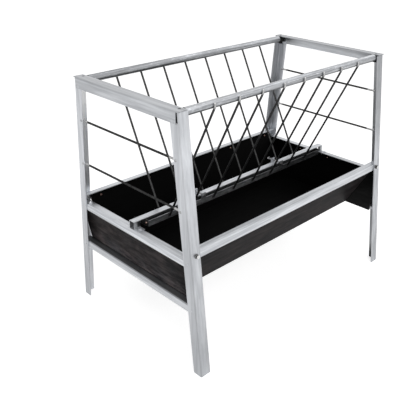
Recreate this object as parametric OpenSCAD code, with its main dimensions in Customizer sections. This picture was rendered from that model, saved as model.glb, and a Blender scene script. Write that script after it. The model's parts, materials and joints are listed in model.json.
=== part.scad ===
// Free-standing hay rack feeder: four angle-iron legs, a V-shaped rack of
// hooked wires between two top tubes and a centre beam, and a panelled tray.
// X runs along the feeder, Y across it, Z up; the origin is the middle of the
// footprint on the ground.

/* [Frame] */
// Overall length over the top end rails
length = 1000; // [900:10:1150]
// Overall height
height = 850; // [800:10:950]
// Depth over the top end rails
depth_top = 500; // [460:10:540]
// Depth over the legs at the feet
depth_foot = 650; // [600:10:700]
// How far the legs' tops stand inside the top end rails' ends
leg_inset = 4; // [3:0.5:5]
// Flange of the leg angles on the feeder's ends
leg_flange = 34.5; // [32:0.5:40]
// Flange of the leg angles on the feeder's long sides
leg_face = 38; // [35:0.5:42]
// Sheet thickness of every folded angle
sheet_t = 2.5; // [2:0.1:3]
// Outside bend radius of the folded angles
bend_r = 4; // [3.5:0.1:5]
// Gap between the tops of the legs and the end rails' top flanges
leg_seam = 2; // [1:0.5:5]

/* [Top rails] */
// Flange of the top end rails
end_rail_flange = 36; // [33:1:42]
// How far each end rail's face stops short of the corner
face_relief = 9; // [8:0.5:12]
// Outside diameter of the long top tubes
tube_d = 25; // [20:0.5:27]
// Wall of the long top tubes
tube_wall = 1.5; // [1:0.1:2.5]
// Gap between the tubes and the end rails' top flanges
tube_gap = 5; // [3:0.5:7]
// Distance of the tubes' axes from the end rails' ends
tube_in = 20; // [19:0.5:24]
// Width of the moulded insert in each corner
insert_w = 22; // [18:0.5:23]
// Thickness of the insert's collar at the tube's end
collar_t = 5; // [3:0.5:8]
// Width of the insert's skirt in the corner of the leg
skirt_w = 10; // [6:0.5:10]
// Depth of the insert's spigot in the tube
spigot_l = 25; // [15:1:40]

/* [Tray] */
// Top face of the end rims above the ground
rim_z = 400; // [360:5:440]
// Flange of the rim angles
rim_flange = 24.5; // [23:0.5:26]
// Flange of the base rails and of the beam's angles
tray_flange = 26.5; // [24:0.5:29]
// Height of the long rims' top face above the end rims' top face
rim_step = 28; // [27.5:0.5:34]
// Top face of the base rails above the ground
base_z = 246.5; // [220:0.5:280]
// Thickness of the tray panels
panel_t = 9; // [6:0.5:12]
// Depth of the tray below the base rails' top face
floor_drop = 15.5; // [12:0.5:24]
// Width over the bottom of the long panels
trough_w = 343; // [300:5:380]
// Gap between an end panel's top edge and the rim flange over it
panel_gap = 6.5; // [6:0.5:10]

/* [Rack] */
// Wire diameter of the rack and of the end bars
wire_d = 7; // [5:0.1:7.2]
// Pitch of the rack wires
wire_pitch = 100; // [90:1:110]
// Shift of the front row's holes along the feeder
front_shift = -10; // [-15:1:15]
// Shift of the rear row's holes along the feeder
rear_shift = -12; // [-15:1:15]
// Lean of the rear row along the feeder, in degrees
rear_lean = 2.6; // [0:0.1:2.8]
// Height of the hook holes above the end rims
hook_z = 10; // [9:0.5:13]
// Bend radius of the hooks
hook_r = 6; // [5:0.5:8]
// How far the hooks reach up round the outer side of the top tubes
hook_turn = 44; // [36:1:66]
// Height of the upper end bars
bar_z_upper = 707; // [660:1:740]
// Height of the lower end bars
bar_z_lower = 553; // [500:1:600]
// Distance of the end bars' holes from the leg flange's edge
bar_edge = 8; // [6.5:0.5:12]

/* [Centre beam] */
// Distance of the beam's rear face behind the middle
beam_rear = 16; // [12:0.5:20]
// Distance of the front bar's face before the middle
bar_front = 25; // [23:0.5:30]
// Distance of the beam's ends from the feeder's ends
beam_end = 10; // [7.5:0.5:14]
// Distance of the front bar's ends from the feeder's ends
bar_end = 55; // [45:1:70]
// Flange width of the front bar
bar_flange = 22; // [20:0.5:26]
// Drop of the front bar below the end rims' top face
bar_drop = 2; // [0:0.5:5]
// Distance of the cross bolts from the middle
tie_x = 205; // [195:1:210]
// Height of the cross bolts above the beam's top face
tie_up = 6.5; // [5.5:0.5:9]
// How far the cross bolts stand out behind the beam's lugs
tie_tail = 22; // [16:1:30]
// Width of the cross bolts' lugs
lug_w = 20; // [16:1:24]

/* [Fasteners] */
// Bolt diameter
bolt_d = 6; // [5:0.5:8]
// Bolt head and nut across corners
hex_d = 11.5; // [10:0.5:13]
// Nut height
nut_h = 5; // [4:0.5:6]
// Across corners of the flanged heads on the legs
leg_head = 13; // [11:0.5:15]
// Height of the flanged heads on the legs
leg_head_h = 8; // [5:0.5:9]
// Height of the low rivet heads
rivet_h = 2.2; // [1.5:0.1:2.5]
// Screws along each long rim
long_screws = 5; // [3:1:7]
// Distance of the outermost long rim screws from the feeder's ends
long_screw_end = 70; // [60:1:90]
// Screws along each end rim
end_screws = 2; // [1:1:4]
// Spacing of the end rim screws
end_screw_pitch = 145; // [120:1:155]
// Shift of the end rim screws towards the rear
end_screw_shift = 25; // [0:1:30]
// Length of the screws into the corner inserts
insert_screw_l = 14; // [10:1:18]
// Head diameter of the screws into the corner inserts
insert_head = 8.4; // [7:0.2:9]
// Panel screw diameter
panel_screw_d = 4.6; // [4:0.2:5]
// Distance of the end rims' corner bolts from the legs
corner_bolt_in = 35; // [25:1:40]
// Distance of the base rails' bolts from the legs' free edges
base_bolt_in = 16; // [12:1:18]

/* [Hidden] */
$fn = 48;
fit = 0.2;
steel = [0.78, 0.79, 0.81];
dark_wire = [0.24, 0.24, 0.26];
board = [0.13, 0.13, 0.135];
zinc = [0.72, 0.73, 0.75];
yellow_zinc = [0.66, 0.5, 0.36];
black = [0.04, 0.04, 0.045];

t = sheet_t;
splay = atan((depth_foot / 2 - depth_top / 2 + leg_inset) / height);
leg_x = length / 2 - t;          // outer face of the legs' end flanges
in_x = leg_x - t;                // inner face of the legs' end flanges
slope_t = t / cos(splay);        // leg flange measured along Y
function leg_y(z) = depth_foot / 2 - tan(splay) * z;
function leg_in(z) = leg_y(z) - slope_t;
function leg_edge(z) = leg_y(z) - leg_flange / cos(splay);

slot_w = face_relief;            // width of the slot in the leg's end flange
leg_top = height - t - leg_seam;
face_z = height - end_rail_flange;

tube_z = height - tube_d / 2;
tube_y = depth_top / 2 - tube_in;
tube_x = length / 2 - end_rail_flange - tube_gap;
insert_top = height - t;
insert_x = in_x - bend_r / 2;
skirt_y = leg_in(height) - 2 * fit; // outer face of the inserts
screw_x = length / 2 - end_rail_flange / 2 - 6.5;

long_z = rim_z + rim_step;
long_y = leg_in(long_z) - 0.1;   // outer face of the long rims
long_x = in_x - bend_r / 2 - 1;  // half length of the long rims
rim_end_y = leg_in(rim_z) - bend_r / 2;
base_end_y = leg_in(base_z) - bend_r / 2;

// outer faces of the sloping panels
end_top_z = rim_z - t - panel_gap;
end_top_x = in_x - t;
end_base_x = in_x - tray_flange;
end_slope = (end_top_x - end_base_x) / (end_top_z - base_z);
function end_x(z) = end_top_x - end_slope * (end_top_z - z);
end_th = panel_t / cos(atan(end_slope));
floor_z = base_z - floor_drop;
side_top_z = long_z - t - bend_r / 2 - 1;
side_top_y = long_y - t;
side_slope = (side_top_y - trough_w / 2) / (side_top_z - floor_z);
function side_y(z) = side_top_y - side_slope * (side_top_z - z);
side_th = panel_t / cos(atan(side_slope));
end_w = leg_in(rim_z) - 0.5;     // half width of the end panels

beam_l = length - 2 * beam_end;
bar_l = length - 2 * bar_end;
beam_z = rim_z + tray_flange;    // top face of the beam
beam_edge = beam_rear - tray_flange;
bar_top = rim_z - bar_drop + bar_flange;
hole_z = rim_z + hook_z;
hole_d = wire_d + 1.5;
tie_z = beam_z + tie_up;
wires = 8;
stub = 8;                        // length of the hooks behind their holes
function front_x(i) = (i - (wires - 1) / 2) * wire_pitch + front_shift;
function rear_x(i) = (i - (wires - 1) / 2) * wire_pitch + rear_shift;
front_hole_y = bar_front;        // hook faces, measured away from the middle
rear_hole_y = beam_rear;

post_t = t;
rail_head = 9.4;                 // head of the flush screws in the end rails
post_l = 24;
foot_l = 23;
leg_bolt_x = leg_x - leg_face + 14.5;
leg_bolt_z = long_z - rim_flange / 2;
rivet_z = rim_z - rim_flange / 2;
rivet_y = leg_in(rim_z) - 17;
base_bolt_z = base_z - tray_flange / 2 - 1;
base_bolt_y = leg_edge(base_z) + base_bolt_in;
rail_screw_y = leg_edge(face_z) + 12;
rail_screw_z = face_z + rail_head / 2 + 1;
corner_bolt_x = in_x - rim_flange / 2;
corner_bolt_y = rim_end_y - corner_bolt_in;
post_bolt_x = beam_l / 2 - post_l / 2;
post_bolt_y = beam_edge - foot_l / 2 - 1;

// ---- building blocks ----

// Folded angle section: outer corner at the origin, flanges along +x and +y
module angle_2d(w1, w2) {
    translate([bend_r, 0]) square([w1 - bend_r, t]);
    translate([0, bend_r]) square([t, w2 - bend_r]);
    translate([bend_r, bend_r]) intersection() {
        difference() {
            circle(r = bend_r);
            circle(r = bend_r - t);
        }
        translate([-bend_r, -bend_r]) square(bend_r);
    }
}

// Section lying in the YZ plane, run along X; section x becomes Y
module run_x(l) rotate([90, 0, 90]) translate([0, 0, -l / 2]) linear_extrude(l) children();

// Section lying in the XZ plane, run along Y; section x becomes X
module run_y(l) rotate([90, 0, 0]) translate([0, 0, -l / 2]) linear_extrude(l) children();

module at_corners() for (sx = [-1, 1], sy = [-1, 1]) scale_sign(sx, sy) children();

// Mirrors a +x +y piece into the corner with the signs sx and sy
module scale_sign(sx, sy)
    mirror([sx < 0 ? 1 : 0, 0, 0]) mirror([0, sy < 0 ? 1 : 0, 0]) children();

module hex(d, h) cylinder(d = d, h = h, $fn = 6);

// Axis along +X, starting at the origin
module along_x() rotate([0, 90, 0]) children();

// Axis along +Y, starting at the origin
module along_y() rotate([-90, 0, 0]) children();

// ---- legs ----

// Leg of the +x +y corner
module leg_body() difference() {
    intersection() {
        translate([leg_x, depth_foot / 2, 0]) rotate([splay, 0, 0])
            translate([0, 0, -40]) linear_extrude(height + 120)
                rotate(180) angle_2d(leg_face, leg_flange);
        cube([length, depth_foot, leg_top]);
    }
    // corner slot beside the end rail's face, along the other flange
    intersection() {
        translate([in_x - 1, 0, face_z]) cube([t + 2, depth_foot, height - face_z]);
        translate([in_x - 1, depth_foot / 2, 0]) rotate([splay, 0, 0])
            translate([0, -t - slot_w, 0]) cube([t + 2, slot_w, height + 60]);
    }
    // holes for the end bars' hooks
    for (z = [bar_z_upper, bar_z_lower])
        translate([in_x - 1, leg_edge(z) + bar_edge, z]) along_x() cylinder(d = hole_d, h = t + 2);
    // rim bolt, rivet, base rail bolt and end rail screw
    leg_bolt_place() translate([0, 0, -t - 1]) cylinder(d = bolt_d + 2 * fit, h = t + 2);
    translate([in_x - 1, rivet_y, rivet_z]) along_x() cylinder(d = bolt_d + 2 * fit, h = t + 2);
    translate([in_x - 1, base_bolt_y, base_bolt_z]) along_x()
        cylinder(d = bolt_d + 2 * fit, h = t + 2);
    translate([in_x - 1, rail_screw_y, rail_screw_z]) along_x()
        cylinder(d = bolt_d + 2 * fit, h = t + 2);
}

// Square to the leaning flange, origin on its outer face, z outwards
module leg_bolt_place()
    translate([leg_bolt_x, leg_y(leg_bolt_z), leg_bolt_z]) rotate([splay - 90, 0, 0]) children();

module leg(sx, sy) color(steel) scale_sign(sx, sy) leg_body();

// ---- top frame ----

module top_end_rail(sx) color(steel) mirror([sx < 0 ? 1 : 0, 0, 0]) difference() {
    run_y(depth_top) translate([length / 2, height]) rotate(180)
        angle_2d(end_rail_flange, end_rail_flange);
    // the face stops short of both corners, the top flange covers them
    for (s = [-1, 1]) scale_sign(1, s)
        translate([length / 2 - bend_r - 1, depth_top / 2 - face_relief, face_z - 1])
            cube([bend_r + 2, face_relief + 1, end_rail_flange - t + 1]);
    for (s = [-1, 1]) scale_sign(1, s) {
        translate([screw_x, tube_y, height - t - 1]) cylinder(d = insert_head + 0.6, h = t + 2);
        translate([leg_x - 1, rail_screw_y, rail_screw_z]) along_x()
            cylinder(d = bolt_d + 2 * fit, h = t + 2);
        translate([length / 2 - 2, rail_screw_y, rail_screw_z]) along_x()
            cylinder(d1 = bolt_d, d2 = rail_head + 0.4, h = 2.001);
    }
}

module top_tube(sy) color(steel) scale_sign(1, sy)
    translate([-tube_x, tube_y, tube_z]) along_x() difference() {
        cylinder(d = tube_d, h = 2 * tube_x);
        translate([0, 0, -1]) cylinder(d = tube_d - 2 * tube_wall, h = 2 * tube_x + 2);
    }

module corner_inserts() color(black) at_corners() difference() {
    union() {
        translate([tube_x, skirt_y - insert_w, insert_top - insert_w])
            cube([insert_x - tube_x, insert_w, insert_w]);
        translate([tube_x, skirt_y - tube_d, insert_top - tube_d])
            cube([collar_t, tube_d, tube_d]);
        translate([insert_x - skirt_w, skirt_y - skirt_w, face_z])
            cube([skirt_w, skirt_w, insert_top - face_z]);
        translate([tube_x - spigot_l, tube_y, tube_z]) along_x()
            cylinder(d = tube_d - 2 * tube_wall - 2 * fit, h = spigot_l);
    }
    translate([screw_x, tube_y, insert_top - insert_screw_l])
        cylinder(d = insert_head / 2 + 0.3, h = insert_screw_l + 1);
}

module corner_screws() color(black) at_corners() translate([screw_x, tube_y, insert_top]) {
    cylinder(d = insert_head, h = t - 0.3);
    translate([0, 0, -insert_screw_l]) cylinder(d = insert_head / 2, h = insert_screw_l);
}

module end_rail_screws() color(zinc) at_corners() translate([0, rail_screw_y, rail_screw_z]) {
    translate([length / 2 - 2, 0, 0]) along_x() cylinder(d1 = bolt_d, d2 = rail_head, h = 1.9);
    translate([in_x - nut_h - 2, 0, 0]) along_x() cylinder(d = bolt_d, h = nut_h + 2 * t);
    translate([in_x - nut_h, 0, 0]) along_x() hex(rail_head, nut_h);
}

// ---- tray ----

module tray_rim_long(sy) color(steel) scale_sign(1, sy) difference() {
    run_x(2 * long_x) translate([long_y, long_z]) rotate(180) angle_2d(rim_flange, rim_flange);
    for (s = [-1, 1]) scale_sign(s, 1) leg_bolt_place()
        translate([0, 0, -15]) cylinder(d = bolt_d + 2 * fit, h = 20);
    for (x = long_screw_xs()) translate([x, long_y - t - 1, screw_z()]) along_y()
        cylinder(d = panel_screw_d + 2 * fit, h = t + 1 - skin);
}

skin = 0.8;                      // steel left over the panel screws' ends
function screw_z() = long_z - rim_flange / 2 - 5;
function long_screw_xs() =
    [for (i = [0 : long_screws - 1]) (i / (long_screws - 1) - 0.5) * (length - 2 * long_screw_end)];
function end_screw_ys() =
    [for (i = [0 : end_screws - 1]) (i - (end_screws - 1) / 2) * end_screw_pitch + end_screw_shift];
end_screw_z = end_top_z - 9;
// undersides of the screws' heads, clear of the sloping boards
side_head = side_y(screw_z()) - side_th - 4 * side_slope;
end_head = end_x(end_screw_z) - end_th - 4 * end_slope;

module tray_rim_end(sx) color(steel) mirror([sx < 0 ? 1 : 0, 0, 0]) difference() {
    run_y(2 * rim_end_y) translate([in_x, rim_z]) rotate(180) angle_2d(rim_flange, rim_flange);
    for (s = [-1, 1]) scale_sign(1, s) {
        translate([in_x - 5, rivet_y, rivet_z]) along_x() cylinder(d = bolt_d + 2 * fit, h = 10);
        translate([corner_bolt_x, corner_bolt_y, rim_z - 5]) cylinder(d = bolt_d + 2 * fit, h = 10);
    }
    for (y = end_screw_ys()) translate([in_x - t - 1, y, end_screw_z]) along_x()
        cylinder(d = panel_screw_d + 2 * fit, h = t + 1 - skin);
    translate([post_bolt_x, post_bolt_y, rim_z - 5]) cylinder(d = bolt_d + 2 * fit, h = 10);
}

module tray_base_rail(sx) color(steel) mirror([sx < 0 ? 1 : 0, 0, 0]) difference() {
    run_y(2 * base_end_y) translate([in_x, base_z]) rotate(180)
        angle_2d(tray_flange, tray_flange);
    for (s = [-1, 1]) scale_sign(1, s) translate([in_x - 5, base_bolt_y, base_bolt_z])
        along_x() cylinder(d = bolt_d + 2 * fit, h = 10);
}

// Space between the inner faces of the end panels, clear of the end rims
module between_ends() {
    run_y(2 * depth_foot) polygon([
        [-end_x(floor_z - 9) + end_th, floor_z - 9], [end_x(floor_z - 9) - end_th, floor_z - 9],
        [end_x(end_top_z) - end_th, end_top_z], [-end_x(end_top_z) + end_th, end_top_z]]);
    translate([-end_base_x + 0.5, -depth_foot, end_top_z])
        cube([2 * end_base_x - 1, 2 * depth_foot, rim_step + 40]);
}

module tray_panel_long(sy) color(board) scale_sign(1, sy) difference() {
    intersection() {
        run_x(length) polygon([
            [side_y(floor_z), floor_z], [side_top_y, side_top_z],
            [side_top_y - side_th, side_top_z], [side_y(floor_z) - side_th, floor_z]]);
        between_ends();
    }
    for (x = long_screw_xs()) translate([x, side_y(screw_z()) - 25, screw_z()]) along_y()
        cylinder(d = panel_screw_d + 2 * fit, h = 50);
}

module tray_panel_end(sx) color(board) mirror([sx < 0 ? 1 : 0, 0, 0]) difference() {
    run_y(2 * end_w) polygon([
        [end_x(floor_z), floor_z], [end_top_x, end_top_z],
        [end_top_x - end_th, end_top_z], [end_x(floor_z) - end_th, floor_z]]);
    for (y = end_screw_ys()) translate([end_top_x - 25, y, end_screw_z]) along_x()
        cylinder(d = panel_screw_d + 2 * fit, h = 50);
}

module tray_floor() color(board) intersection() {
    run_x(length) polygon([
        [-side_y(floor_z) + side_th, floor_z], [side_y(floor_z) - side_th, floor_z],
        [side_y(floor_z + panel_t) - side_th, floor_z + panel_t],
        [-side_y(floor_z + panel_t) + side_th, floor_z + panel_t]]);
    between_ends();
}

// ---- centre beam ----

module beam_top_angle() color(steel) difference() {
    union() {
        run_x(beam_l) translate([beam_rear, beam_z]) rotate(180)
            angle_2d(tray_flange, tray_flange);
        for (s = [-1, 1]) translate([s * tie_x - lug_w / 2, beam_rear, rim_z + 7])
            cube([lug_w, t, tie_z + hex_d / 2 + 2 - rim_z - 7]);
    }
    for (i = [0 : wires - 1]) translate([rear_x(i), beam_rear - t - 1, hole_z]) along_y()
        cylinder(d = hole_d, h = t + 2);
    for (s = [-1, 1]) translate([s * tie_x, beam_rear - 1, tie_z]) along_y()
        cylinder(d = bolt_d + 2 * fit, h = t + 2);
}

module beam_front_bar() color(steel) difference() {
    union() {
        run_x(bar_l) translate([-bar_front, bar_top - bar_flange])
            angle_2d(bar_flange, bar_flange);
        for (s = [-1, 1]) translate([s * tie_x - lug_w / 2, -bar_front - t, rim_z + 5])
            cube([lug_w, t, tie_z + hex_d / 2 + 2 - rim_z - 5]);
    }
    for (i = [0 : wires - 1]) translate([front_x(i), -bar_front - 1, hole_z]) along_y()
        cylinder(d = hole_d, h = t + 2);
    for (s = [-1, 1]) translate([s * tie_x, -bar_front - t - 1, tie_z]) along_y()
        cylinder(d = bolt_d + 2 * fit, h = t + 2);
}

// Webs that close the front bar's ends and carry it from the top angle
module beam_end_webs() color(black) for (s = [-1, 1]) scale_sign(s, 1)
    difference() {
        translate([bar_l / 2, -bar_front, rim_z])
            cube([t, bar_front + beam_rear - t, beam_z - t - rim_z]);
        web_screw_place() translate([0, 0, -t - 1]) cylinder(d = 4.5, h = t + 2);
    }

module web_screw_place() translate([bar_l / 2 + t, -bar_front + 9, rim_z + 12]) along_x() children();

module beam_web_screws() color(yellow_zinc) for (s = [-1, 1]) scale_sign(s, 1)
    web_screw_place() {
        cylinder(d1 = 8, d2 = 6, h = 1.8);
        translate([0, 0, -t - 3]) cylinder(d = 4, h = t + 3);
    }

// Upright plate under the beam's end with a foot on the end rim
module beam_post(sx) color(steel) mirror([sx < 0 ? 1 : 0, 0, 0]) difference() {
    union() {
        translate([beam_l / 2 - post_l, beam_edge, rim_z])
            cube([post_l, post_t, tray_flange - t]);
        translate([beam_l / 2 - post_l, beam_edge - foot_l, rim_z])
            cube([post_l, foot_l + post_t, t]);
    }
    translate([post_bolt_x, post_bolt_y, rim_z - 1]) cylinder(d = bolt_d + 2 * fit, h = t + 2);
}

module beam_post_bolts() color(zinc) for (s = [-1, 1]) scale_sign(s, 1)
    translate([post_bolt_x, post_bolt_y, rim_z]) {
        translate([0, 0, t]) hex(hex_d, 4);
        translate([0, 0, -t]) cylinder(d = bolt_d, h = 2 * t);
        translate([0, 0, -t - 3]) cylinder(d = hex_d, h = 3);
    }

module beam_tie_bolts() color(zinc) for (s = [-1, 1])
    translate([s * tie_x, 0, tie_z]) {
        translate([0, -bar_front - t - 4.5, 0]) along_y() hex(hex_d, 4.5);
        translate([0, -bar_front - t, 0]) along_y()
            cylinder(d = bolt_d, h = bar_front + beam_rear + 2 * t + tie_tail);
    }

// One nut against each rear lug and one near the bolt's end
module beam_tie_nuts() color(zinc) for (s = [-1, 1], y = [0, tie_tail - nut_h - 1])
    translate([s * tie_x, beam_rear + t + y, tie_z]) along_y() difference() {
        hex(hex_d + 1, nut_h);
        translate([0, 0, -1]) cylinder(d = bolt_d, h = nut_h + 2);
    }

// ---- hooked wires ----

// A wire hangs in a plane across the feeder. It rises from its hole in the
// beam, passes under the tube and closes round the tube's outer side.
wrap_r = tube_d / 2 + wire_d / 2 + 0.5;

// lean from the vertical of the line that touches the wrap's circle
function start_y(y0, b) = y0 + hook_r * cos(b);
function start_z(b) = hole_z + hook_r - hook_r * sin(b);
function reach(y0, b) = norm([tube_y - start_y(y0, b), tube_z - start_z(b)]);
function lean(y0, b, n) = n == 0 ? b :
    lean(y0, atan2(tube_y - start_y(y0, b), tube_z - start_z(b))
        + asin(wrap_r / reach(y0, b)), n - 1);

// Bend of a wire round a centre at the origin, from angle a0 over a1 degrees
module bend(r, a0, a1) rotate([0, 0, a0]) {
    rotate_extrude(angle = a1) translate([r, 0]) circle(d = wire_d);
    for (a = [0, a1]) rotate([0, 0, a]) translate([r, 0]) swell();
}

// Slight swelling where a bend runs into a straight
module swell() sphere(d = wire_d + 0.1);

// Drawn for the rear row: y0 is the hole face, outwards is +Y
module rack_wire(y0) {
    b = lean(y0, 28, 8);
    run = sqrt(pow(reach(y0, b), 2) - pow(wrap_r, 2));
    // stub through the hole
    translate([0, y0 - t - stub, hole_z]) along_y() cylinder(d = wire_d, h = t + stub);
    // foot bend, centred above the hole's face
    translate([0, y0, hole_z + hook_r]) rotate([90, 0, 90]) bend(hook_r, -90, 90 - b);
    // straight run
    translate([0, start_y(y0, b), start_z(b)]) rotate([-b, 0, 0]) cylinder(d = wire_d, h = run);
    // hook round the tube
    translate([0, tube_y, tube_z]) rotate([90, 0, 90]) bend(wrap_r, -b, hook_turn);
}

module wire_front(i) color(dark_wire) translate([front_x(i), 0, 0])
    mirror([0, 1, 0]) rack_wire(front_hole_y);
module wire_rear(i) color(dark_wire) translate([rear_x(i), 0, hole_z])
    rotate([0, rear_lean, 0]) translate([0, 0, -hole_z]) rack_wire(rear_hole_y);

// End bar between two legs, hooked outwards through their end flanges
module end_bar(sx, z) color(dark_wire) mirror([sx < 0 ? 1 : 0, 0, 0]) {
    x = in_x - wire_d / 2 - fit;
    y = leg_edge(z) + bar_edge;
    r = hook_r - 2;
    translate([x, -y + r, z]) along_y() cylinder(d = wire_d, h = 2 * (y - r));
    for (s = [-1, 1]) scale_sign(1, s) {
        translate([x + r, y - r, z]) bend(r, 90, 90);
        translate([x + r, y, z]) along_x() cylinder(d = wire_d, h = leg_x - fit - x - r);
    }
}

// ---- fasteners ----

module leg_rim_bolts() color(zinc) at_corners() leg_bolt_place() {
    cylinder(d1 = leg_head + 3, d2 = leg_head + 1, h = 2);
    hex(leg_head, leg_head_h);
    translate([0, 0, -t - 10]) cylinder(d = bolt_d, h = t + 10);
}

// Nuts against the long rims' inner faces, round the leaning bolts
module leg_rim_nuts() color(zinc) at_corners() difference() {
    translate([leg_bolt_x, long_y - t - 4.5, leg_bolt_z]) along_y() hex(hex_d, 4.5);
    leg_bolt_place() translate([0, 0, -30]) cylinder(d = bolt_d + fit, h = 35);
}

module rim_rivets() color(zinc) at_corners() translate([0, rivet_y, rivet_z]) {
    translate([leg_x, 0, 0]) along_x() cylinder(d1 = hex_d, d2 = hex_d - 4, h = rivet_h);
    translate([in_x - t, 0, 0]) along_x() cylinder(d = bolt_d, h = 2 * t);
}

module base_rail_bolts() color(zinc) at_corners() translate([0, base_bolt_y, base_bolt_z]) {
    translate([leg_x, 0, 0]) along_x() cylinder(d1 = hex_d, d2 = hex_d - 4, h = rivet_h);
    translate([in_x - t - nut_h - 2, 0, 0]) along_x() cylinder(d = bolt_d, h = nut_h + 2 + 2 * t);
    translate([in_x - t - nut_h, 0, 0]) along_x() hex(hex_d, nut_h);
}

module rim_corner_bolts() color(zinc) at_corners()
    translate([corner_bolt_x, corner_bolt_y, rim_z]) {
        hex(hex_d, nut_h);
        translate([0, 0, -t]) cylinder(d = bolt_d, h = t + nut_h + 3);
        translate([0, 0, -t - 4]) hex(hex_d, 4);
    }

// Screws from the inside of the tray, their ends hidden in the rims' steel
module panel_screw(h) {
    translate([0, 0, -2.4]) cylinder(d1 = 5.5, d2 = 8, h = 2.4);
    cylinder(d = panel_screw_d, h = h);
}

module panel_screws() color(yellow_zinc) {
    for (sy = [-1, 1], x = long_screw_xs()) scale_sign(1, sy)
        translate([x, side_head, screw_z()]) along_y() panel_screw(long_y - side_head - skin - 0.2);
    for (sx = [-1, 1], y = end_screw_ys()) scale_sign(sx, 1)
        translate([end_head, y, end_screw_z]) along_x() panel_screw(in_x - end_head - skin - 0.2);
}

// ---- nodes ----

leg(-1, -1);  // leg_front_left
leg(1, -1);  // leg_front_right
leg(-1, 1);  // leg_rear_left
leg(1, 1);  // leg_rear_right
top_end_rail(-1);  // top_end_rail_left
top_end_rail(1);  // top_end_rail_right
top_tube(-1);  // top_tube_front
top_tube(1);  // top_tube_rear
corner_inserts();
corner_screws();
end_rail_screws();
tray_rim_long(-1);  // tray_rim_front
tray_rim_long(1);  // tray_rim_rear
tray_rim_end(-1);  // tray_rim_left
tray_rim_end(1);  // tray_rim_right
tray_base_rail(-1);  // tray_base_rail_left
tray_base_rail(1);  // tray_base_rail_right
tray_panel_long(-1);  // tray_panel_front
tray_panel_long(1);  // tray_panel_rear
tray_panel_end(-1);  // tray_panel_left
tray_panel_end(1);  // tray_panel_right
tray_floor();
beam_top_angle();
beam_front_bar();
beam_end_webs();
beam_post(-1);  // beam_post_left
beam_post(1);  // beam_post_right
beam_post_bolts();
beam_web_screws();
beam_tie_bolts();
beam_tie_nuts();
wire_front(0);  // rack_wire_front_1
wire_front(1);  // rack_wire_front_2
wire_front(2);  // rack_wire_front_3
wire_front(3);  // rack_wire_front_4
wire_front(4);  // rack_wire_front_5
wire_front(5);  // rack_wire_front_6
wire_front(6);  // rack_wire_front_7
wire_front(7);  // rack_wire_front_8
wire_rear(0);  // rack_wire_rear_1
wire_rear(1);  // rack_wire_rear_2
wire_rear(2);  // rack_wire_rear_3
wire_rear(3);  // rack_wire_rear_4
wire_rear(4);  // rack_wire_rear_5
wire_rear(5);  // rack_wire_rear_6
wire_rear(6);  // rack_wire_rear_7
wire_rear(7);  // rack_wire_rear_8
end_bar(-1, bar_z_upper);  // end_bar_left_upper
end_bar(-1, bar_z_lower);  // end_bar_left_lower
end_bar(1, bar_z_upper);  // end_bar_right_upper
end_bar(1, bar_z_lower);  // end_bar_right_lower
leg_rim_bolts();
leg_rim_nuts();
rim_rivets();
base_rail_bolts();
rim_corner_bolts();
panel_screws();
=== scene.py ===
"""Looks for the hay rack feeder: camera, studio, and one procedural material per kind of surface.

The marks on a surface, such as streaks, grain and painted light and shade, are placed on the object in
metres.
"""
import json
import math

import bpy
from mathutils import Matrix, Vector


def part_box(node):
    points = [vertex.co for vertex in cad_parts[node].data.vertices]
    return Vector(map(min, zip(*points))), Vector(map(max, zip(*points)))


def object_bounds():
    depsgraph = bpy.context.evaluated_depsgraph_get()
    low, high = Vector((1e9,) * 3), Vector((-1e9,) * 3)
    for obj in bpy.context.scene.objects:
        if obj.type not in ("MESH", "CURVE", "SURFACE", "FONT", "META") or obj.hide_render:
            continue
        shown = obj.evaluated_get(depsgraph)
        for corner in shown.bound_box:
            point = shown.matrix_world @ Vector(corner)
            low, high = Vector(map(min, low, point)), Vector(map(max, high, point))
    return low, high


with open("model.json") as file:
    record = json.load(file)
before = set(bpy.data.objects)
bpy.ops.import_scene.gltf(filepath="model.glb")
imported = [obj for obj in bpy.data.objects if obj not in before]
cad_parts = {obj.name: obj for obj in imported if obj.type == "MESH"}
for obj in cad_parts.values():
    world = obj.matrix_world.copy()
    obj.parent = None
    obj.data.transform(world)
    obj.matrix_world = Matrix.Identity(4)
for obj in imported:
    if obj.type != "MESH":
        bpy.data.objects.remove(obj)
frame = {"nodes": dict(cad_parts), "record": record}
cad_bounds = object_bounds()
nodes = frame["nodes"]
scene = bpy.context.scene
MIDDLE = Vector((0.0, 0.0, 0.4))        # of the feeder, roughly; the camera and the lamps are set by it


# ---- camera ----

AZIMUTH, ELEVATION, ROLL = -45.835, 24.977, 0.711           # degrees
DISTANCE, TO_RIGHT, UPWARDS = 2.255, -0.01637, -0.00554     # metres from MIDDLE, along the camera's own axes
LENS, SENSOR = 52.465, 36.0                                 # mm
SHIFT_X, SHIFT_Y = -0.0648, -0.0545                         # parts of the picture's width


def aim(azimuth, elevation, roll):
    """Camera axes (right, up, back) for angles in degrees; azimuth 0 looks along +Y."""
    a, e, r = (math.radians(v) for v in (azimuth, elevation, roll))
    back = Vector((math.sin(a) * math.cos(e), -math.cos(a) * math.cos(e), math.sin(e)))
    level = Vector((math.cos(a), math.sin(a), 0.0))
    up = back.cross(level)
    return level * math.cos(r) + up * math.sin(r), up * math.cos(r) - level * math.sin(r), back


def make_camera():
    right, up, back = aim(AZIMUTH, ELEVATION, ROLL)
    place = MIDDLE + back * DISTANCE + right * TO_RIGHT + up * UPWARDS
    data = bpy.data.cameras.new("view")
    data.sensor_width = SENSOR
    data.lens = LENS
    data.shift_x = SHIFT_X
    data.shift_y = SHIFT_Y
    cam = bpy.data.objects.new("view", data)
    scene.collection.objects.link(cam)
    cam.matrix_world = Matrix((
        (right.x, up.x, back.x, place.x), (right.y, up.y, back.y, place.y),
        (right.z, up.z, back.z, place.z), (0, 0, 0, 1)))
    scene.camera = cam


make_camera()


# ---- node trees ----

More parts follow.
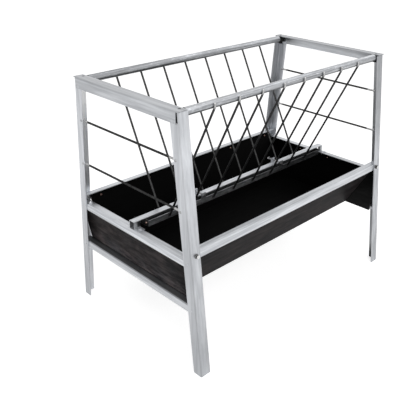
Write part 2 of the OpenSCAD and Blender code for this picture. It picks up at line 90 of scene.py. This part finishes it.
RAMP_STEPS = 256                    # Blender bakes a ramp to so many steps from 0 to 1, or about 4 mm each
EDGE = 0.001                        # width of a sharp edge as it is written; a ramp blurs it to its own step
HALF_LENGTH = cad_bounds[1][0]      # from the middle of the feeder to either end


class Tree:
    """Short names for building a node tree. A value is a number, a colour or another node's output."""

    def __init__(self, nt):
        self.nt = nt

    def node(self, kind, **props):
        n = self.nt.nodes.new(kind)
        for key, value in props.items():
            setattr(n, key, value)
        return n

    def put(self, socket, value):
        """Link an output to the socket, or write a constant on it."""
        if isinstance(value, bpy.types.NodeSocket):
            self.nt.links.new(value, socket)
        else:
            socket.default_value = value

    def math(self, kind, *values):
        m = self.node("ShaderNodeMath", operation=kind)
        for socket, value in zip(m.inputs, values):
            self.put(socket, value)
        return m.outputs[0]

    def seen(self):
        """Two masks: rays from the camera, and rays off mirrors and through glass."""
        path = self.node("ShaderNodeLightPath")
        mirrored = self.math("MAXIMUM", path.outputs["Is Glossy Ray"], path.outputs["Is Transmission Ray"])
        return path.outputs["Is Camera Ray"], mirrored


class Surface(Tree):
    """A material: its node tree, its shader and the coordinates that its marks are placed by.

    x, y and z are the place on the object, with X and Y taken without their sign. along is the distance from
    the feeder's left end.
    """

    def __init__(self, name):
        self.mat = bpy.data.materials.new(name)
        self.mat.use_nodes = True
        super().__init__(self.mat.node_tree)
        self.bsdf = self.nt.nodes["Principled BSDF"]
        coord = self.node("ShaderNodeTexCoord")
        self.place, self.normal = coord.outputs["Object"], coord.outputs["Normal"]
        x, y, self.z = self.split(self.place)
        self.x, self.y = self.math("ABSOLUTE", x), self.math("ABSOLUTE", y)
        self.along = self.math("ADD", x, HALF_LENGTH)

    def set(self, socket, value):
        """Set a socket of the shader."""
        self.put(self.bsdf.inputs[socket], value)

    def split(self, vector):
        n = self.node("ShaderNodeSeparateXYZ")
        self.put(n.inputs["Vector"], vector)
        return n.outputs["X"], n.outputs["Y"], n.outputs["Z"]

    def noise(self, scale, detail=3.0, rough=0.5, grain=(1, 1, 1)):
        """Noise with its grain drawn out along the axes where the grain's number is small."""
        m = self.node("ShaderNodeMapping")
        self.put(m.inputs["Vector"], self.place)
        self.put(m.inputs["Scale"], grain)
        n = self.node("ShaderNodeTexNoise")
        self.put(n.inputs["Vector"], m.outputs["Vector"])
        self.put(n.inputs["Scale"], scale)
        self.put(n.inputs["Detail"], detail)
        self.put(n.inputs["Roughness"], rough)
        return n.outputs["Fac"]

    def ramp(self, value, stops, start=0.0):
        """The tones or colours given at some values, in (value, tone) pairs, and the blends between them.

        The values are counted from start, and both are metres where the value is a place.
        """
        r = self.node("ShaderNodeValToRGB")
        while len(r.color_ramp.elements) < len(stops):
            r.color_ramp.elements.new(0.5)
        for element, (position, tone) in zip(r.color_ramp.elements, stops):
            element.position = start + position
            element.color = (*tone, 1.0) if isinstance(tone, tuple) else (tone, tone, tone, 1.0)
        self.put(r.inputs["Fac"], value)
        return r.outputs["Color"]

    def past(self, value, limit):
        """Mask of the side past the limit."""
        return self.ramp(value, [(0.0, 0.0), (EDGE, 1.0)], start=limit)

    def at(self, value, face):
        """Mask of the flat face that lies at a value, which a ramp would blur."""
        above = self.math("GREATER_THAN", value, face - EDGE / 2)
        return self.math("MULTIPLY", above, self.math("LESS_THAN", value, face + EDGE / 2))

    def only(self, mask, tone):
        """The tone inside the mask, and 1 outside it."""
        return self.math("MULTIPLY_ADD", mask, self.math("SUBTRACT", tone, 1.0), 1.0)

    def times(self, *tones):
        """The product of two tones or more."""
        product = tones[0]
        for tone in tones[1:]:
            product = self.math("MULTIPLY", product, tone)
        return product

    def shade(self, colour, tone):
        """The colour times the tone."""
        m = self.node("ShaderNodeVectorMath", operation="SCALE")
        self.put(m.inputs[0], colour)
        self.put(m.inputs["Scale"], tone)
        return m.outputs[0]

    def mix(self, factor, a, b):
        m = self.node("ShaderNodeMix", data_type="RGBA")
        self.put(m.inputs["Factor"], factor)
        self.put(m.inputs["A"], a)
        self.put(m.inputs["B"], b)
        return m.outputs["Result"]

    def bump(self, height, distance, strength):
        b = self.node("ShaderNodeBump")
        self.put(b.inputs["Strength"], strength)
        self.put(b.inputs["Distance"], distance)
        self.put(b.inputs["Height"], height)
        self.set("Normal", b.outputs["Normal"])


# ---- galvanised sheet ----

ALONG_X, ALONG_Y, ALONG_Z = (0.04, 1, 1), (1, 0.04, 1), (1, 1, 0.04)     # grains of the sheet
TUBE_GRAIN = (0.02, 1, 1)
DULL_ZINC = ((0.435, 0.45, 0.475), (0.635, 0.65, 0.68))         # its dark and its pale streaks
FRESH_ZINC = ((0.555, 0.57, 0.595), (0.79, 0.81, 0.84))

# Corners of the nodes that marks are counted from, taken at the rear right, where X and Y are positive
LEG_LOW, LEG_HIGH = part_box("leg_rear_right")
RAIL_LOW, RAIL_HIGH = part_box("top_end_rail_right")
TUBE_LOW, TUBE_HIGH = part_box("top_tube_rear")
LONG_RIM_TOP, END_RIM_TOP = (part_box(node)[1].z for node in ("tray_rim_rear", "tray_rim_right"))
BASE_LOW, BASE_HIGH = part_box("tray_base_rail_right")
BEAM_LOW, BEAM_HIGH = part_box("beam_top_angle")
POST_LOW, POST_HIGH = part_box("beam_post_right")
UPPER_BAR, LOWER_BAR = (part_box(node)[1] for node in ("end_bar_right_upper", "end_bar_right_lower"))

SHEET = 0.0025          # thickness of the folded sheet
LEG_BEND = 0.004        # depth of a leg's outer bend, from both outer faces
SPLAY = (LOWER_BAR.y - UPPER_BAR.y) / (UPPER_BAR.z - LOWER_BAR.z)       # the legs' lean, as the bars give it
TUBE_STEPS = range(math.ceil(TUBE_LOW.z * RAMP_STEPS), math.ceil(TUBE_HIGH.z * RAMP_STEPS) + 1)
TUBE_REFLECTION_HEIGHTS = [step / RAMP_STEPS for step in TUBE_STEPS]     # heights on a tube for its painted reflections, one to each step of a ramp
# painted dark reflection along a leg's outer bend
BEND_DARK_REFLECTION = 0.72
# painted shade inside the beam's hollow
HOLLOW_SHADE_TONE = 0.07


def galvanised(name, grain, tone_and_painted_light, contrast=1.0):
    """Zinc-coated sheet: a cloudy bloom, streaks along the rolling direction, a fine tooth, and the part's
    own tones, which are mostly painted light and shade.
    """
    t = Surface(name)
    bloom = t.noise(9.0, detail=4.0, rough=0.6)
    streak = t.noise(90.0, detail=4.0, rough=0.65, grain=grain)
    spread = 0.14 / contrast
    span = (0.5 - spread, 0.5 + spread)
    dull, fresh = (t.ramp(streak, list(zip(span, zinc))) for zinc in (DULL_ZINC, FRESH_ZINC))
    t.set("Base Color", t.shade(t.mix(bloom, dull, fresh), tone_and_painted_light(t)))
    t.set("Metallic", 0.8)
    t.set("Roughness", t.ramp(bloom, [(0.3, 0.30), (0.7, 0.42)]))
    t.bump(streak, distance=0.0003, strength=0.5)
    return t.mat


def ground_y(t):
    """Y, carried down along the legs' lean to the ground."""
    return t.math("MULTIPLY_ADD", t.z, SPLAY, t.y)


def leg(t, top=1.0, start=0.50):
    """Painted dark reflection along the outer bend, painted shade that deepens towards the foot, and the
    leg's own painted light and shade, top, above the height start.
    """
    bend = t.math("MINIMUM", t.past(t.x, LEG_HIGH.x - LEG_BEND), t.past(ground_y(t), LEG_HIGH.y - LEG_BEND))
    foot_shade_and_leg_tone = t.ramp(t.z, [(0.0, 0.82), (0.30, 0.94), (start, 0.98), (start + 0.15, top)])
    return t.times(t.ramp(bend, [(0.0, 1.0), (1.0, BEND_DARK_REFLECTION)]), foot_shade_and_leg_tone)


def front_right_leg(t):
    """A leg with painted shadow on the inner face of its end flange, black at the foot."""
    tone = t.ramp(t.z, [(0.02, 0.0), (0.045, 0.30), (0.07, 0.60), (0.38, 0.65), (0.42, 1.0)])
    return t.times(leg(t, top=0.72), t.only(t.at(t.x, LEG_HIGH.x - SHEET), tone))


def rear_leg(t, top, start, inside):
    """A leg with painted light and shade across it, as tones given from its free edge to its end flange."""
    return t.times(leg(t, top, start), t.ramp(t.x, inside, start=LEG_LOW.x))


def end_rail(t):
    """Painted shade on the top face and a painted shadow line inside the fold, and on the inner face painted
    shade that deepens towards the top flange and towards the legs.
    """
    top = t.ramp(t.z, [(-0.0060, 1.0), (-0.0038, 0.68), (-0.0022, 0.73)], start=RAIL_HIGH.z)
    shade_under_flange = t.ramp(t.z, [(0.002, 1.25), (0.024, 0.86)], start=RAIL_LOW.z)
    inner = t.times(shade_under_flange, t.ramp(t.y, [(-0.12, 1.0), (-0.04, 0.60)], start=RAIL_HIGH.y))
    face = t.only(t.at(t.x, RAIL_HIGH.x - SHEET), inner)
    above = t.ramp(t.z, [(-0.0038, 0.0), (-0.0030, 1.0)], start=RAIL_HIGH.z)
    return t.times(top, t.math("MAXIMUM", face, above))


def rim(t, top):
    """Painted shade on the top face, at the height top, and painted light on the outer face."""
    return t.ramp(t.z, [(-0.0022, 1.12), (-0.0008, 0.80)], start=top)


def front_bar(t):
    """Blotchy tone, and painted shade for the dark tray that the bar's face reflects, deeper towards the
    right end.
    """
    blotch = t.ramp(t.noise(60.0, detail=4.0, rough=0.65, grain=(0.3, 1, 1)), [(0.40, 0.55), (0.62, 1.25)])
    # painted shade, deeper towards the right end
    scale = t.ramp(t.along, [(0.05, 0.75), (0.55, 0.50), (0.70, 0.25), (0.95, 0.12)])
    return t.times(blotch, scale)


def beam(t):
    """Painted shade on the inner side, under the top flange."""
    below = t.ramp(t.z, [(-0.0012, HOLLOW_SHADE_TONE), (-0.0002, 1.0)], start=POST_HIGH.z)
    return t.math("MAXIMUM", below, t.ramp(t.y, [(-0.0039, 0.0), (-0.0033, 1.0)], start=BEAM_HIGH.y))


def post(t):
    """Painted shade towards the middle of the feeder, above the foot."""
    shaded_inner = t.ramp(t.x, [(0.0115, 0.10), (0.0135, 0.65)], start=POST_LOW.x)
    return t.math("MAXIMUM", shaded_inner, t.ramp(t.z, [(0.0027, 0.85), (0.0035, 0.0)], start=POST_LOW.z))


def base_rail(t):
    """Painted shade and dark reflection on the top face under the panel, black along the panel."""
    shelf_shade = t.ramp(t.x, [(0.0020, 0.02), (0.0045, 0.36), (0.0215, 0.46)], start=BASE_LOW.x)
    return t.math("MAXIMUM", shelf_shade, t.ramp(t.z, [(-SHEET, 1.0), (-0.0010, 0.0)], start=BASE_HIGH.z))


def tube(t, left, right):
    """Painted reflections as stripes along a tube, by height, with fine lines and flecks of zinc.

    left and right are the stripes' tones on the two halves, from the lowest up.
    """
    half = t.ramp(t.along, [(0.37, 0.0), (0.46, 1.0)])
    left, right = (t.ramp(t.z, list(zip(TUBE_REFLECTION_HEIGHTS, tones))) for tones in (left, right))
    reflection_stripes = t.mix(half, left, right)
    fine = t.ramp(t.noise(240.0, detail=3.0, rough=0.6, grain=(0.03, 1, 1)), [(0.42, 0.70), (0.58, 1.06)])
    flecks = t.ramp(t.noise(150.0, detail=4.0, rough=0.7, grain=(0.30, 1, 1)), [(0.55, 1.0), (0.62, 1.35)])
    return t.times(reflection_stripes, fine, flecks)


# ---- boards ----

LONG_LOW, LONG_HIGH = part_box("tray_panel_rear")
END_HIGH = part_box("tray_panel_right")[1]
LEVEL_WIDTH = 0.0103                    # thickness of a long panel, measured level
PANEL_SLOPE = (LONG_HIGH.y - LONG_LOW.y - LEVEL_WIDTH) / (LONG_HIGH.z - LONG_LOW.z)
PANEL_Y = LONG_HIGH.y - PANEL_SLOPE * LONG_HIGH.z       # where its outer face would reach the ground
GREY_GRAIN = [(0.40, (0.0096, 0.0096, 0.0104)), (0.60, (0.036, 0.0348, 0.0366))]
BROWN_GRAIN = [(0.40, (0.0168, 0.0146, 0.015)), (0.60, (0.0576, 0.0492, 0.0494))]
# the film's tones, dark enough to hold the tray's shade as painted shade
FILM = [(0.35, 0.0009), (0.68, 0.0018)]
LONG_WEAR = 0.82


def end_outer_tone_and_shade(t):
    """The end boards' outer side: greyer towards the base rail, and painted shade behind the legs."""
    low = t.ramp(t.z, [(0.0035, 4.2), (0.0185, 3.1), (0.0385, 1.80), (0.0635, 1.30)], start=BASE_HIGH.z)
    return t.times(low, t.ramp(t.y, [(-0.0798, 1.0), (-0.0448, 0.45)], start=END_HIGH.y))


def end_film_painted_light(t):
    """The film on the end boards' inner side, with painted light that makes it greyer on the stretch outside
    the tray's shade.
    """
    outside = t.past(t.math("MULTIPLY_ADD", t.z, -PANEL_SLOPE, t.y), PANEL_Y)
    return t.only(outside, t.ramp(t.z, [(0.0135, 13.5), (0.0435, 10.8), (0.0835, 5.4)], start=BASE_HIGH.z))


# The last two arguments scale the outer side's tone and the film's; on the end boards they carry painted
# shade and painted light.
def board(name, grain, outside_tone_and_shade, film):
    """Film-faced board: smooth black film on the faces that look up, its tone partly painted shade of the
    tray, and a worn brownish grain on the others.
    """
    t = Surface(name)
    fibre = t.noise(60.0, detail=6.0, rough=0.75, grain=grain)
    cloud = t.noise(11.0, detail=3.0, rough=0.6)
    # faces that look up: the film, with painted shade
    inside = t.ramp(t.split(t.normal)[2], [(0.0, 0.0), (0.05, 1.0)])
    brown = t.ramp(cloud, [(0.35, 0.0), (0.65, 1.0)])
    outer = t.shade(t.mix(brown, t.ramp(fibre, GREY_GRAIN), t.ramp(fibre, BROWN_GRAIN)), outside_tone_and_shade(t))
    t.set("Base Color", t.mix(inside, outer, t.shade(t.ramp(fibre, FILM), film(t))))
    t.set("Roughness", t.ramp(fibre, [(0.3, 0.45), (0.7, 0.6)]))
    t.set("Specular IOR Level", 0.025)
    t.bump(fibre, distance=0.0005, strength=0.6)
    return t.mat


# ---- wire, fasteners and fittings ----


def wire(name, bright):
    """Dark drawn wire, bright where the mask that bright gives is 1."""
    t = Surface(name)
    scale = t.noise(120.0, detail=3.0, rough=0.6)
    t.set("Base Color", t.mix(
        bright(t), t.ramp(scale, [(0.3, 0.035), (0.7, 0.065)]), t.ramp(scale, [(0.3, 0.42), (0.7, 0.60)])))
    t.set("Metallic", 0.9)
    t.set("Roughness", 0.4)
    t.set("Specular Tint", (0.25, 0.25, 0.26, 1))
    t.set("Specular IOR Level", 0.1)
    t.bump(scale, distance=0.0001, strength=0.3)
    return t.mat


def hooks(t):
    """Mask of a rack wire's two ends."""
    lower = t.ramp(t.z, [(0.012, 0.22), (0.016, 0.0)], start=BEAM_LOW.z)
    return t.math("MAXIMUM", lower, t.ramp(t.z, [(0.002, 0.0), (0.005, 1.0)], start=TUBE_LOW.z))


def bar_tips(t):
    """Mask of an end bar's two ends, near the legs."""
    return t.math("MAXIMUM", t.past(t.x, LEG_HIGH.x - 0.0013), t.past(ground_y(t), LEG_HIGH.y - 0.0586))


def plated(name, dark, pale, rough):
    """Plated small steel part with slight clouding."""
    t = Surface(name)
    cloud = t.noise(150.0, detail=2.0)
    t.set("Base Color", t.ramp(cloud, [(0.3, dark), (0.7, pale)]))
    t.set("Metallic", 1.0)
    t.set("Roughness", t.ramp(cloud, [(0.3, rough), (0.7, rough + 0.1)]))
    return t.mat


def bolt_lit_and_shaded():
    """Leg bolt: painted highlight on the end face, painted shade on the sides."""
    t = Surface("bolt_lit_and_shaded")
    cloud = t.noise(150.0, detail=2.0)
    face = t.ramp(t.math("ABSOLUTE", t.split(t.normal)[1]), [(0.93, 0.0), (0.97, 1.0)])
    t.set("Base Color", t.mix(
        face, t.ramp(cloud, [(0.3, 0.03), (0.7, 0.08)]), t.ramp(cloud, [(0.3, 0.72), (0.7, 0.92)])))
    t.set("Metallic", 0.6)
    t.set("Roughness", t.ramp(cloud, [(0.3, 0.35), (0.7, 0.45)]))
    return t.mat


def moulded():
    """Black moulded plastic with a fine spark-eroded grain; at the corners the black inserts also stand in
    for the shadow in the gaps.
    """
    t = Surface("insert")
    grain = t.noise(900.0, detail=2.0)
    t.set("Base Color", t.ramp(grain, [(0.3, 0.005), (0.7, 0.009)]))
    t.set("Roughness", 0.5)
    t.set("Specular IOR Level", 0.2)
    t.bump(grain, distance=0.0001, strength=0.3)
    return t.mat


def painted():
    """Matt black paint with a slight orange peel."""
    t = Surface("black_steel")
    peel = t.noise(260.0, detail=2.0)
    t.set("Base Color", t.ramp(peel, [(0.3, 0.006), (0.7, 0.012)]))
    t.set("Roughness", 0.55)
    t.bump(peel, distance=0.0001, strength=0.3)
    return t.mat


# ---- which material goes where ----

MATS = {
    "trim": galvanised("galvanised_z", ALONG_Z, leg),
    # Each leg's top tone, and a rear leg's tones across it, are painted light and shade.
    "leg_front_left": galvanised("galvanised_leg_left", ALONG_Z, lambda t: leg(t, top=1.12), contrast=0.7),
    "leg_front_right": galvanised("galvanised_leg_right", ALONG_Z, front_right_leg, contrast=1.3),
    "leg_rear_left": galvanised("galvanised_leg_rear_left", ALONG_Z, lambda t: rear_leg(
        t, top=1.18, start=0.36, inside=[(0.0185, 1.40), (0.0245, 1.0)]), contrast=0.7),
    "leg_rear_right": galvanised("galvanised_leg_rear_right", ALONG_Z, lambda t: rear_leg(
        t, top=0.72, start=0.32,
        inside=[(0.0065, 0.85), (0.0185, 1.0), (0.0340, 0.95), (0.0350, 1.65)]), contrast=1.8),
    "post": galvanised("galvanised_post", ALONG_Y, post),
    # The tubes' tones by height are painted reflections, different on the two halves.
    "top_tube_front": galvanised("galvanised_tube_front", TUBE_GRAIN, lambda t: tube(
        t, left=(0.60, 0.42, 1.02, 0.96, 1.10, 0.94, 0.50),
        right=(0.70, 0.60, 0.81, 0.59, 1.06, 1.18, 0.65)), contrast=2.0),
    "top_tube_rear": galvanised("galvanised_tube_rear", TUBE_GRAIN, lambda t: tube(
        t, left=(0.55, 0.17, 0.35, 0.77, 0.60, 0.68, 0.46),
        right=(0.60, 0.45, 0.88, 0.65, 0.85, 1.24, 0.55)), contrast=2.0),
    "long_rim": galvanised("galvanised_rim_long", ALONG_X, lambda t: rim(t, LONG_RIM_TOP), contrast=1.4),
    "end_rim": galvanised("galvanised_rim_end", ALONG_Y, lambda t: rim(t, END_RIM_TOP), contrast=1.4),
    "beam_front_bar": galvanised("galvanised_bar", ALONG_X, front_bar),
    "beam_top_angle": galvanised("galvanised_beam", ALONG_X, beam),
    "base_rail": galvanised("galvanised_base", ALONG_Y, base_rail),
    "end_rail": galvanised("galvanised_rail", ALONG_Y, end_rail),
    "board": board("board", (0.14, 1, 1), outside_tone_and_shade=lambda t: LONG_WEAR, film=lambda t: 1.0),
    "end_board": board("end_board", (1, 0.22, 1), outside_tone_and_shade=end_outer_tone_and_shade, film=end_film_painted_light),
    "wire": wire("wire", hooks),
    "end_bar": wire("end_bar", bar_tips),
    "zinc": plated("zinc", (0.70, 0.71, 0.73), (0.86, 0.87, 0.89), rough=0.3),
    "dull_zinc": plated("dull_zinc", (0.14, 0.14, 0.145), (0.44, 0.44, 0.45), rough=0.4),
    "leg_rim_bolts": bolt_lit_and_shaded(),
    "yellow_zinc": plated("yellow_zinc", (0.32, 0.20, 0.165), (0.50, 0.35, 0.31), rough=0.35),
    "insert": moulded(),
    "black_steel": painted(),
}

# Materials that several nodes share, and how those nodes' names start
SHARED = {
    "trim": ("rim_rivets", "end_rail_screws", "base_rail_bolts"),
    "post": ("beam_post_left", "beam_post_right"),
    "long_rim": ("tray_rim_front", "tray_rim_rear"),
    "end_rim": ("tray_rim_left", "tray_rim_right"),
    "base_rail": ("tray_base_rail",),
    "end_rail": ("top_end_rail",),
    "end_board": ("tray_panel_left", "tray_panel_right"),
    "end_bar": ("end_bar",),
    "dull_zinc": ("beam_tie",),
}
SLOTS = {s["node"]: s["material_slot"] for s in frame["record"]["subparts"]}


def material(name):
    """The material with the node's own name, else the one that it shares, else the one of its slot."""
    if name in MATS:
        return MATS[name]
    for key, starts in SHARED.items():
        if name.startswith(starts):
            return MATS[key]
    return MATS[SLOTS[name]]


for name, obj in nodes.items():
    obj.data.materials.clear()
    obj.data.materials.append(material(name))


# ---- studio ----

FLOOR_HALF = 30.0
FLOOR_Z = -0.0003                       # just under the feet
FLOOR_COLOUR = (0.82, 0.82, 0.82, 1)
FLOOR_SEEN, FLOOR_MIRRORED = 0.70, 0.40     # its added glow, for the camera and for mirrors and glass
WORLD_LIGHT = 0.45
WHITE = (1, 1, 1, 1)


def stage_material():
    """White floor that keeps a soft shadow: diffuse, lifted for camera, mirror and glass rays."""
    t = Surface("floor")
    camera, mirrored = t.seen()
    t.set("Base Color", FLOOR_COLOUR)
    t.set("Roughness", 0.9)
    t.set("Emission Color", WHITE)
    t.set("Emission Strength", t.math("MAXIMUM", t.math("MULTIPLY", camera, FLOOR_SEEN),
                                      t.math("MULTIPLY", mirrored, FLOOR_MIRRORED)))
    return t.mat


def make_floor():
    corners = [(x * FLOOR_HALF, y * FLOOR_HALF, FLOOR_Z) for x, y in ((-1, -1), (1, -1), (1, 1), (-1, 1))]
    mesh = bpy.data.meshes.new("floor")
    mesh.from_pydata(corners, [], [(0, 1, 2, 3)])
    floor = bpy.data.objects.new("floor", mesh)
    scene.collection.objects.link(floor)
    floor.data.materials.append(stage_material())


def make_world():
    """White for camera, mirror and glass rays, and a plain soft light for the rest."""
    world = bpy.data.worlds.new("studio")
    scene.world = world
    world.use_nodes = True
    t = Tree(world.node_tree)
    level = t.node("ShaderNodeMapRange")
    t.put(level.inputs["Value"], t.math("MAXIMUM", *t.seen()))
    t.put(level.inputs["To Min"], WORLD_LIGHT)
    t.put(level.inputs["To Max"], 1.0)
    back = t.nt.nodes["Background"]
    t.put(back.inputs["Color"], WHITE)
    t.put(back.inputs["Strength"], level.outputs["Result"])


def lamp(name, place, size, power):
    """Square area lamp that points at the middle of the feeder."""
    data = bpy.data.lights.new(name, "AREA")
    data.shape = "SQUARE"
    data.size = size
    data.energy = power
    obj = bpy.data.objects.new(name, data)
    scene.collection.objects.link(obj)
    obj.location = place
    obj.rotation_euler = (MIDDLE - Vector(place)).to_track_quat("-Z", "Y").to_euler()


make_floor()
make_world()
lamp("key", (-1.5, -3.0, 2.6), size=2.0, power=50)
lamp("top", (0.0, 0.0, 3.5), size=2.5, power=12)
scene.view_settings.view_transform = "Standard"
